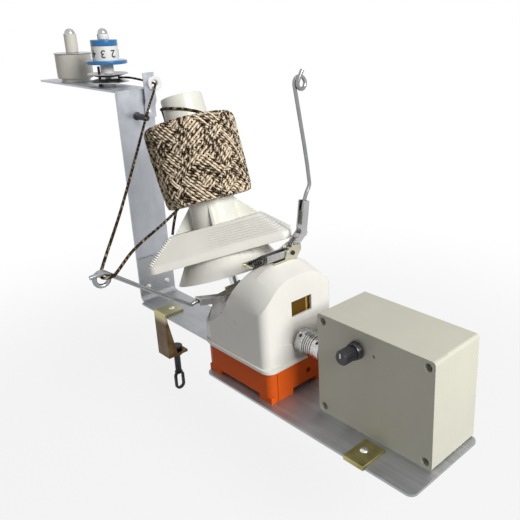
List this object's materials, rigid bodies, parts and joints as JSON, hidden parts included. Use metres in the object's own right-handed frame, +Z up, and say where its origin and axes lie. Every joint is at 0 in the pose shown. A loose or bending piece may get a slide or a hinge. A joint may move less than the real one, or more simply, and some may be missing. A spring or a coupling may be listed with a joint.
{
  "type": "electric yarn ball winder",
  "caption": "Yarn ball winder on a steel base: a tilted bobbin geared to a motor in a box, folding wire guides, a tension dial and cup on a raised shelf, and a table clamp.",
  "frame": {"origin": "underside of the base plate, below the point where the spindle axis crosses the drive shaft axis", "axes": "+X along the base from the shelf end to the motor box, +Z up, drive shaft and spindle in the plane Y = 0, knob on the -Y side"},
  "size_m": [0.612, 0.2262, 0.4004],
  "materials": {
    "sheet_steel": "satin",
    "strip_steel": "satin",
    "rivet_steel": "satin",
    "black_plastic": "satin",
    "porcelain": "gloss",
    "cup_cream": "satin",
    "disc_metal": "polished",
    "dome_chrome": "polished",
    "post_white": "satin",
    "dial_blue": "gloss",
    "spring_steel": "satin",
    "zinc_yellow": "satin",
    "black_steel": "satin",
    "case_orange": "satin",
    "hood_white": "gloss",
    "screw_steel": "satin",
    "bush_brass": "satin",
    "shaft_steel": "polished",
    "gear_nylon": "satin",
    "coupling_alu": "satin",
    "yarn": "fuzzy",
    "arm_zinc": "satin",
    "guide_wire": "satin",
    "box_cream": "satin",
    "motor_can": "satin",
    "board_green": "satin",
    "knob_black": "gloss"
  },
  "bodies": {
    "frame": {"base_plate": "sheet_steel", "riser_bracket": "strip_steel", "rivets": "rivet_steel", "riser_peg": "black_plastic", "eyelet_bracket": "strip_steel", "eyelet_ring": "porcelain", "cup_body": "cup_cream", "cup_sleeve": "cup_cream", "cup_screw": "dome_chrome", "tension_post": "post_white", "lower_disc": "disc_metal", "tension_spring": "spring_steel", "tension_pin": "black_plastic", "dial_nut": "post_white", "dial_screw": "dome_chrome", "table_clamp": "zinc_yellow", "edge_bracket": "zinc_yellow", "winder_base": "case_orange", "winder_cover": "hood_white", "cover_screws": "screw_steel", "base_screws": "screw_steel", "input_bushes": "bush_brass", "spindle_bushes": "bush_brass", "yarn_feed": "yarn", "yarn_lead": "yarn", "right_bracket": "zinc_yellow", "right_arm_pin": "black_steel", "arm_spring": "black_steel", "left_bracket": "zinc_yellow", "left_arm_pin": "black_steel", "box_body": "box_cream", "box_lid": "box_cream", "lid_screws": "screw_steel", "gearmotor": "motor_can", "control_board": "board_green", "potentiometer": "black_plastic", "dc_jack": "black_plastic"},
    "spindle": {"spindle_gear": "gear_nylon", "spindle_shaft": "shaft_steel", "bobbin_paddle": "hood_white", "bobbin_cone": "hood_white", "yarn_ball": "yarn", "yarn_tail": "yarn"},
    "drive": {"input_shaft": "shaft_steel", "input_pinion": "gear_nylon", "coupling": "coupling_alu", "coupling_screws": "black_steel", "motor_shaft": "shaft_steel"},
    "right_guide": {"right_arm": "arm_zinc", "right_wire_guide": "guide_wire"},
    "left_guide": {"left_arm": "arm_zinc", "left_wire_guide": "guide_wire"},
    "knob": {"speed_knob": "knob_black", "pot_shaft": "shaft_steel"},
    "dial": {"tension_dial": "dial_blue", "dial_ring": "post_white"},
    "press_disc": {"upper_disc": "disc_metal"},
    "cup_cap": {"cup_disc": "disc_metal"},
    "pad": {"clamp_pad": "black_steel"},
    "screw": {"clamp_screw": "black_steel"}
  },
  "joints": [
    {"name": "spindle_turn", "type": "hinge", "parent": "frame", "child": "spindle", "pos_m": [0, 0, 0.049], "axis": [-0.342, 0, 0.9397], "continuous": true},
    {"name": "drive_turn", "type": "hinge", "parent": "frame", "child": "drive", "pos_m": [0, 0, 0.049], "axis": [1, 0, 0], "continuous": true},
    {"name": "right_guide_fold", "type": "hinge", "parent": "frame", "child": "right_guide", "pos_m": [0.058, 0.01, 0.1215], "axis": [-1, 0, 0], "range_deg": [-2, 35], "stiffness_Nm_per_rad": 0.15, "deforming": ["arm_spring"]},
    {"name": "left_guide_fold", "type": "hinge", "parent": "frame", "child": "left_guide", "pos_m": [0.027, -0.027, 0.087], "axis": [-1, 0, 0], "range_deg": [-4, 12], "deforming": ["yarn_feed", "yarn_lead"]},
    {"name": "knob_turn", "type": "hinge", "parent": "frame", "child": "knob", "pos_m": [0.162, -0.017, 0.076], "axis": [0, -1, 0], "range_deg": [-150, 150]},
    {"name": "dial_turn", "type": "hinge", "parent": "frame", "child": "dial", "pos_m": [-0.241, 0.018, 0.264], "axis": [0, 0, 1], "range_deg": [-150, 150]},
    {"name": "disc_lift", "type": "slide", "parent": "frame", "child": "press_disc", "axis": [0, 0, 1], "range_m": [0, 0.002], "stiffness_N_per_m": 300, "deforming": ["tension_spring"]},
    {"name": "cup_cap_turn", "type": "hinge", "parent": "frame", "child": "cup_cap", "pos_m": [-0.321, 0.018, 0.272], "axis": [0, 0, 1], "continuous": true},
    {"name": "clamp_travel", "type": "slide", "parent": "frame", "child": "pad", "axis": [0, 0, 1], "range_m": [0, 0.022]},
    {"name": "clamp_turn", "type": "hinge", "parent": "pad", "child": "screw", "pos_m": [-0.138, 0.005, -0.06], "axis": [0, 0, 1], "range_deg": [0, 5280]}
  ],
  "couplings": [
    {"joint": "drive_turn", "follows": "spindle_turn", "ratio": 2.3077},
    {"joint": "clamp_turn", "follows": "clamp_travel", "rad_per_m": 4188.8}
  ]
}
